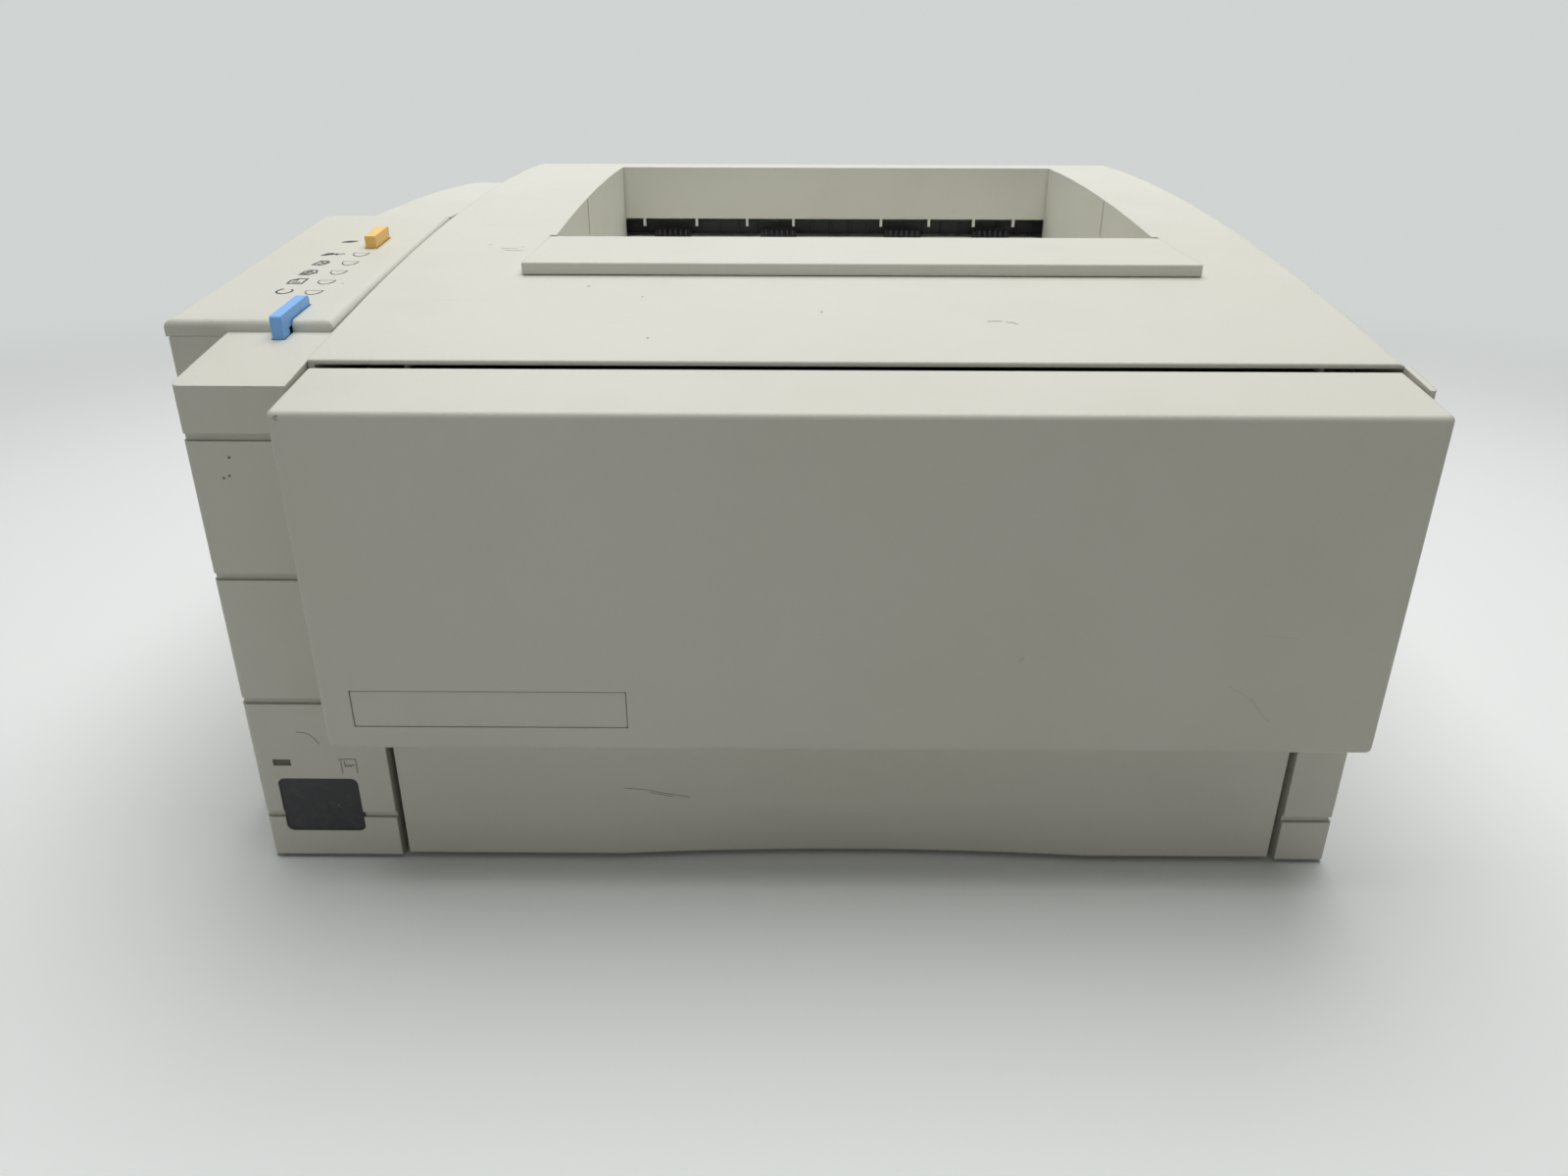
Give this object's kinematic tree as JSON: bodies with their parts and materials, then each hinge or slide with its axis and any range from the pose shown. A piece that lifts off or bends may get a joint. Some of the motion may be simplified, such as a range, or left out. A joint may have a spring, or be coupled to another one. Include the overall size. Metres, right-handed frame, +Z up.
{
  "type": "laser printer",
  "caption": "Desktop laser printer with a lift-up arched top cover and sunken output bin, fold-down front tray door, pull-out paper cassette and a sloping control panel.",
  "frame": {"origin": "bottom centre of the bounding box, on the surface the printer stands on", "axes": "+X to the right seen from the front, +Y to the back, +Z up"},
  "size_m": [0.405, 0.404, 0.2288],
  "materials": {
    "ivory": "fine grained",
    "grey_plastic": "satin",
    "black_plastic": "satin",
    "blue_plastic": "satin",
    "orange_plastic": "satin",
    "smoked_lens": "fine grained",
    "clear_lens": "satin",
    "foot_rubber": "matte",
    "roller_rubber": "matte",
    "drum_coat": "polished",
    "heat_coat": "polished",
    "gear_nylon": "satin",
    "sheet_steel": "zinc plated",
    "bright_steel": "plated",
    "green_board": "lacquered"
  },
  "bodies": {
    "printer_body": {"base_frame": "grey_plastic", "rubber_feet": "foot_rubber", "left_cover": "ivory", "right_cover": "ivory", "rear_cover": "ivory", "control_panel": "ivory", "left_side_frame": "sheet_steel", "right_side_frame": "sheet_steel", "front_frame": "black_plastic", "transfer_guide": "black_plastic", "separation_pad": "roller_rubber", "scanner_housing": "black_plastic", "main_motor": "sheet_steel", "fuser_housing": "black_plastic", "delivery_guide": "black_plastic", "formatter_board": "green_board", "power_board": "green_board", "fan_housing": "black_plastic", "power_inlet": "black_plastic", "parallel_port": "black_plastic", "infrared_window": "smoked_lens", "status_lens": "clear_lens", "panel_lights": "clear_lens", "panel_board": "green_board", "cover_screws": "bright_steel", "cartridge_shell": "black_plastic"},
    "top_cover": {"top_cover": "ivory", "cover_hinge_pins": "bright_steel"},
    "output_flap": {"output_flap": "ivory"},
    "front_door": {"front_door": "ivory", "tray_bed": "grey_plastic", "door_hinge_pins": "bright_steel", "badge_plate": "ivory"},
    "left_guide": {"left_paper_guide": "grey_plastic"},
    "right_guide": {"right_paper_guide": "grey_plastic"},
    "guide_pinion": {"guide_pinion": "gear_nylon"},
    "cassette": {"cassette_tray": "grey_plastic", "cassette_front": "ivory", "lift_springs": "bright_steel"},
    "lift_plate": {"lift_plate": "sheet_steel"},
    "length_stop": {"length_stop": "grey_plastic"},
    "go_button": {"go_button": "blue_plastic"},
    "reset_button": {"reset_button": "orange_plastic"},
    "rear_door": {"rear_door": "ivory"},
    "power_switch": {"power_switch": "grey_plastic"},
    "drum": {"drum": "drum_coat"},
    "transfer_roller": {"transfer_roller": "roller_rubber"},
    "registration_roller": {"registration_roller": "roller_rubber"},
    "pickup_roller": {"pickup_roller": "roller_rubber"},
    "tray_pickup_roller": {"tray_pickup_roller": "roller_rubber"},
    "pressure_roller": {"pressure_roller": "roller_rubber"},
    "heat_roller": {"heat_roller": "heat_coat"},
    "delivery_rollers": {"delivery_rollers": "roller_rubber"},
    "motor_pinion": {"motor_pinion": "gear_nylon"},
    "idler_gear_1": {"idler_gear_1": "gear_nylon"},
    "idler_gear_2": {"idler_gear_2": "gear_nylon"},
    "idler_gear_3": {"idler_gear_3": "gear_nylon"},
    "idler_gear_4": {"idler_gear_4": "gear_nylon"},
    "fan_rotor": {"fan_rotor": "black_plastic"}
  },
  "joints": [
    {"name": "top_cover_hinge", "type": "hinge", "parent": "printer_body", "child": "top_cover", "pos_m": [0, 0.191, 0.213], "axis": [-1, 0, 0], "range_deg": [0, 60]},
    {"name": "output_flap_hinge", "type": "hinge", "parent": "top_cover", "child": "output_flap", "pos_m": [0, -0.0324, 0.20318], "axis": [-1, 0, 0], "range_deg": [0, 100]},
    {"name": "front_door_hinge", "type": "hinge", "parent": "printer_body", "child": "front_door", "pos_m": [0, -0.191, 0.0615], "axis": [1, 0, 0], "range_deg": [0, 85]},
    {"name": "left_guide_slide", "type": "slide", "parent": "front_door", "child": "left_guide", "axis": [1, 0, 0], "range_m": [0, 0.06]},
    {"name": "right_guide_slide", "type": "slide", "parent": "front_door", "child": "right_guide", "axis": [-1, 0, 0], "range_m": [0, 0.06]},
    {"name": "guide_pinion_spin", "type": "hinge", "parent": "front_door", "child": "guide_pinion", "pos_m": [0.034, -0.176, 0.103], "axis": [0, -1, 0], "range_deg": [0, 344]},
    {"name": "cassette_slide", "type": "slide", "parent": "printer_body", "child": "cassette", "axis": [0, -1, 0], "range_m": [0, 0.28]},
    {"name": "lift_plate_hinge", "type": "hinge", "parent": "cassette", "child": "lift_plate", "pos_m": [0.034, 0.02, 0.0083], "axis": [1, 0, 0], "range_deg": [0, 8.5], "stiffness_Nm_per_rad": 1.6, "springref_deg": -28.65, "deforming": ["lift_springs"]},
    {"name": "length_stop_slide", "type": "slide", "parent": "cassette", "child": "length_stop", "axis": [0, -1, 0], "range_m": [0, 0.05]},
    {"name": "go_button_press", "type": "slide", "parent": "printer_body", "child": "go_button", "axis": [0, 0.1686, -0.9857], "range_m": [0, 0.0015], "stiffness_N_per_m": 300, "springref_m": -0.003},
    {"name": "reset_button_press", "type": "slide", "parent": "printer_body", "child": "reset_button", "axis": [0, 0.1686, -0.9857], "range_m": [0, 0.0015], "stiffness_N_per_m": 300, "springref_m": -0.003},
    {"name": "rear_door_hinge", "type": "hinge", "parent": "printer_body", "child": "rear_door", "pos_m": [0, 0.1994, 0.076], "axis": [-1, 0, 0], "range_deg": [0, 80]},
    {"name": "power_switch_rock", "type": "hinge", "parent": "printer_body", "child": "power_switch", "pos_m": [0.166, 0.1935, 0.056], "axis": [1, 0, 0], "range_deg": [0, 12]},
    {"name": "drum_spin", "type": "hinge", "parent": "printer_body", "child": "drum", "pos_m": [0, 0, 0.1], "axis": [1, 0, 0], "continuous": true},
    {"name": "registration_spin", "type": "hinge", "parent": "printer_body", "child": "registration_roller", "pos_m": [0, -0.03458, 0.07797], "axis": [1, 0, 0], "continuous": true},
    {"name": "pressure_roller_spin", "type": "hinge", "parent": "printer_body", "child": "pressure_roller", "pos_m": [0, 0.12, 0.0757], "axis": [1, 0, 0], "continuous": true},
    {"name": "delivery_spin", "type": "hinge", "parent": "printer_body", "child": "delivery_rollers", "pos_m": [0, 0.1845, 0.1865], "axis": [1, 0, 0], "continuous": true},
    {"name": "motor_pinion_spin", "type": "hinge", "parent": "printer_body", "child": "motor_pinion", "pos_m": [0, 0.05354, 0.16541], "axis": [1, 0, 0], "continuous": true},
    {"name": "idler_1_spin", "type": "hinge", "parent": "printer_body", "child": "idler_gear_1", "pos_m": [0, 0.04677, 0.127], "axis": [1, 0, 0], "continuous": true},
    {"name": "idler_2_spin", "type": "hinge", "parent": "printer_body", "child": "idler_gear_2", "pos_m": [0, 0.07756, 0.08264], "axis": [1, 0, 0], "continuous": true},
    {"name": "idler_3_spin", "type": "hinge", "parent": "printer_body", "child": "idler_gear_3", "pos_m": [0, 0.1415, 0.11294], "axis": [1, 0, 0], "continuous": true},
    {"name": "idler_4_spin", "type": "hinge", "parent": "printer_body", "child": "idler_gear_4", "pos_m": [0, 0.15557, 0.16507], "axis": [1, 0, 0], "continuous": true},
    {"name": "transfer_spin", "type": "hinge", "parent": "printer_body", "child": "transfer_roller", "pos_m": [0, 0, 0.0767], "axis": [1, 0, 0], "continuous": true},
    {"name": "heat_roller_spin", "type": "hinge", "parent": "printer_body", "child": "heat_roller", "pos_m": [0, 0.12, 0.095], "axis": [1, 0, 0], "continuous": true},
    {"name": "pickup_spin", "type": "hinge", "parent": "printer_body", "child": "pickup_roller", "pos_m": [0, -0.128, 0.0573], "axis": [1, 0, 0], "continuous": true},
    {"name": "tray_pickup_spin", "type": "hinge", "parent": "printer_body", "child": "tray_pickup_roller", "pos_m": [0, -0.14, 0.104], "axis": [1, 0, 0], "continuous": true},
    {"name": "fan_spin", "type": "hinge", "parent": "printer_body", "child": "fan_rotor", "pos_m": [0, -0.095, 0.128], "axis": [1, 0, 0], "continuous": true}
  ],
  "couplings": [
    {"joint": "registration_spin", "follows": "drum_spin", "ratio": -1.9286},
    {"joint": "pressure_roller_spin", "follows": "drum_spin", "ratio": -1.6875},
    {"joint": "delivery_spin", "follows": "drum_spin", "ratio": 3},
    {"joint": "motor_pinion_spin", "follows": "drum_spin", "ratio": 2.25},
    {"joint": "idler_1_spin", "follows": "drum_spin", "ratio": -1},
    {"joint": "idler_2_spin", "follows": "drum_spin", "ratio": 1},
    {"joint": "idler_3_spin", "follows": "drum_spin", "ratio": 1},
    {"joint": "idler_4_spin", "follows": "drum_spin", "ratio": -1},
    {"joint": "transfer_spin", "follows": "drum_spin", "ratio": -1.875},
    {"joint": "heat_roller_spin", "follows": "drum_spin", "ratio": 1.875},
    {"joint": "right_guide_slide", "follows": "left_guide_slide", "ratio": 1},
    {"joint": "guide_pinion_spin", "follows": "left_guide_slide", "rad_per_m": 100}
  ]
}
